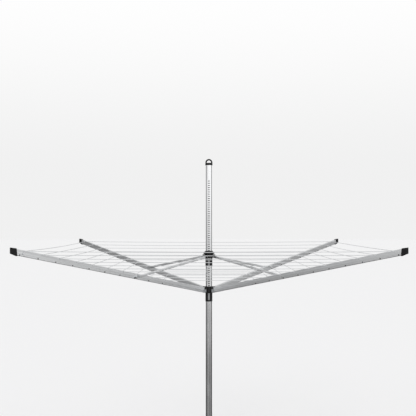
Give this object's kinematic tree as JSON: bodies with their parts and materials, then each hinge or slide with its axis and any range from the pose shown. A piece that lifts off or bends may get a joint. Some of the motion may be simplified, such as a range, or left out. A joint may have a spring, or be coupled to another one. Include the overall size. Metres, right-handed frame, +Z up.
{
  "type": "rotary clothesline",
  "caption": "Folding rotary clothesline: slotted mast turning in a ground socket, sliding hubs, strutted arms with laps of line.",
  "frame": {"origin": "on the mast axis at ground level, the top of the ground socket tube", "axes": "+Z up along the mast, arms at 45 degrees to X and Y, latch slots facing -Y"},
  "size_m": [2.2582, 2.2582, 2.4595],
  "materials": {
    "galvanised_steel": "galvanised",
    "dark_plastic": "satin moulded",
    "mast_aluminium": "drawn tube, satin",
    "arm_aluminium": "extruded, satin anodised",
    "strut_aluminium": "extruded, satin anodised",
    "bright_trim": "bright",
    "grey_bush_plastic": "smooth",
    "grey_lever_plastic": "satin moulded",
    "cast_aluminium": "die cast, fine grained",
    "steel": "zinc plated",
    "pale_plastic": "satin moulded",
    "line_cord": "smooth covered line"
  },
  "bodies": {
    "ground_socket": {"ground_socket_tube": "galvanised_steel", "ground_socket_spike": "galvanised_steel", "ground_socket_collar": "dark_plastic", "ground_socket_foot_bush": "dark_plastic"},
    "mast": {"mast_tube": "mast_aluminium", "mast_foot_plug": "dark_plastic", "mast_top_cap": "dark_plastic", "hanging_loop": "dark_plastic"},
    "height_collar": {"height_collar_sleeve": "dark_plastic", "height_collar_rings": "bright_trim", "height_collar_bush": "grey_bush_plastic", "height_lever_pin": "steel", "height_lever_spring": "steel"},
    "height_lever": {"height_lever": "grey_lever_plastic"},
    "lower_hub": {"lower_hub_body": "dark_plastic", "lower_hub_bush": "grey_bush_plastic", "lower_hub_pins": "steel", "lower_hub_sleeve": "dark_plastic", "release_lever_pin": "steel", "release_lever_spring": "steel"},
    "release_lever": {"release_lever": "grey_lever_plastic"},
    "upper_hub": {"upper_hub_shell": "dark_plastic", "upper_hub_carrier": "cast_aluminium", "upper_hub_bush": "grey_bush_plastic", "upper_hub_pins": "steel"},
    "arm_1": {"arm_1_profile": "arm_aluminium", "arm_1_root_fitting": "cast_aluminium", "arm_1_end_cap": "dark_plastic", "arm_1_line_clips": "dark_plastic", "arm_1_strut_pin": "steel", "line_laps_1": "line_cord"},
    "strut_1": {"strut_1_tube": "strut_aluminium", "strut_1_ends": "cast_aluminium"},
    "arm_2": {"arm_2_profile": "arm_aluminium", "arm_2_root_fitting": "cast_aluminium", "arm_2_end_cap": "dark_plastic", "arm_2_line_clips": "dark_plastic", "arm_2_strut_pin": "steel", "line_laps_2": "line_cord"},
    "strut_2": {"strut_2_tube": "strut_aluminium", "strut_2_ends": "cast_aluminium"},
    "arm_3": {"arm_3_profile": "arm_aluminium", "arm_3_root_fitting": "cast_aluminium", "arm_3_end_cap": "dark_plastic", "arm_3_line_clips": "dark_plastic", "arm_3_strut_pin": "steel", "line_laps_3": "line_cord", "line_end_clip": "pale_plastic"},
    "strut_3": {"strut_3_tube": "strut_aluminium", "strut_3_ends": "cast_aluminium"},
    "arm_4": {"arm_4_profile": "arm_aluminium", "arm_4_root_fitting": "cast_aluminium", "arm_4_end_cap": "dark_plastic", "arm_4_line_clips": "dark_plastic", "arm_4_strut_pin": "steel", "line_laps_4": "line_cord"},
    "strut_4": {"strut_4_tube": "strut_aluminium", "strut_4_ends": "cast_aluminium"}
  },
  "joints": [
    {"name": "mast_spin", "type": "hinge", "parent": "ground_socket", "child": "mast", "pos_m": [0, 0, 0], "axis": [0, 0, 1], "continuous": true},
    {"name": "umbrella_height", "type": "slide", "parent": "mast", "child": "height_collar", "axis": [0, 0, 1], "range_m": [0, 0.3276]},
    {"name": "height_lever_pull", "type": "hinge", "parent": "height_collar", "child": "height_lever", "pos_m": [0, -0.031, 1.224], "axis": [-1, 0, 0], "range_deg": [0, 15], "stiffness_Nm_per_rad": 0.5, "springref_deg": -11.46, "deforming": ["height_lever_spring"]},
    {"name": "lower_hub_drop", "type": "slide", "parent": "height_collar", "child": "lower_hub", "axis": [0, 0, -1], "range_m": [0, 0.8225]},
    {"name": "release_lever_pull", "type": "hinge", "parent": "lower_hub", "child": "release_lever", "pos_m": [0, -0.031, 0.982], "axis": [-1, 0, 0], "range_deg": [0, 15], "stiffness_Nm_per_rad": 0.5, "springref_deg": -11.46, "deforming": ["release_lever_spring"]},
    {"name": "arm_1_fold", "type": "hinge", "parent": "lower_hub", "child": "arm_1", "pos_m": [0.02828, 0.02828, 1.024], "axis": [0.7071, -0.7071, 0], "range_deg": [0, 76], "deforming": ["line_laps_1"]},
    {"name": "strut_1_swing", "type": "hinge", "parent": "arm_1", "child": "strut_1", "pos_m": [0.47129, 0.49321, 1.1356], "axis": [0.7071, -0.7071, 0], "range_deg": [-152, 0]},
    {"name": "arm_2_fold", "type": "hinge", "parent": "lower_hub", "child": "arm_2", "pos_m": [-0.02828, 0.02828, 1.024], "axis": [0.7071, 0.7071, 0], "range_deg": [0, 76], "deforming": ["line_laps_2"]},
    {"name": "strut_2_swing", "type": "hinge", "parent": "arm_2", "child": "strut_2", "pos_m": [-0.49321, 0.47129, 1.1356], "axis": [0.7071, 0.7071, 0], "range_deg": [-152, 0]},
    {"name": "arm_3_fold", "type": "hinge", "parent": "lower_hub", "child": "arm_3", "pos_m": [-0.02828, -0.02828, 1.024], "axis": [-0.7071, 0.7071, 0], "range_deg": [0, 76], "deforming": ["line_laps_3"]},
    {"name": "strut_3_swing", "type": "hinge", "parent": "arm_3", "child": "strut_3", "pos_m": [-0.47129, -0.49321, 1.1356], "axis": [-0.7071, 0.7071, 0], "range_deg": [-152, 0]},
    {"name": "arm_4_fold", "type": "hinge", "parent": "lower_hub", "child": "arm_4", "pos_m": [0.02828, -0.02828, 1.024], "axis": [-0.7071, -0.7071, 0], "range_deg": [0, 76], "deforming": ["line_laps_4"]},
    {"name": "strut_4_swing", "type": "hinge", "parent": "arm_4", "child": "strut_4", "pos_m": [0.49321, -0.47129, 1.1356], "axis": [-0.7071, -0.7071, 0], "range_deg": [-152, 0]},
    {"name": "upper_hub_lift", "type": "hinge", "parent": "strut_1", "child": "upper_hub", "pos_m": [0.01732, 0.03924, 1.24721], "axis": [0.7071, -0.7071, 0], "range_deg": [0, 76]}
  ],
  "couplings": [
    {"joint": "lower_hub_drop", "follows": "arm_1_fold", "m_per_rad": 0.62},
    {"joint": "strut_1_swing", "follows": "arm_1_fold", "ratio": -2},
    {"joint": "arm_2_fold", "follows": "arm_1_fold", "ratio": 1},
    {"joint": "strut_2_swing", "follows": "arm_1_fold", "ratio": -2},
    {"joint": "arm_3_fold", "follows": "arm_1_fold", "ratio": 1},
    {"joint": "strut_3_swing", "follows": "arm_1_fold", "ratio": -2},
    {"joint": "arm_4_fold", "follows": "arm_1_fold", "ratio": 1},
    {"joint": "strut_4_swing", "follows": "arm_1_fold", "ratio": -2},
    {"joint": "upper_hub_lift", "follows": "arm_1_fold", "ratio": 1}
  ]
}
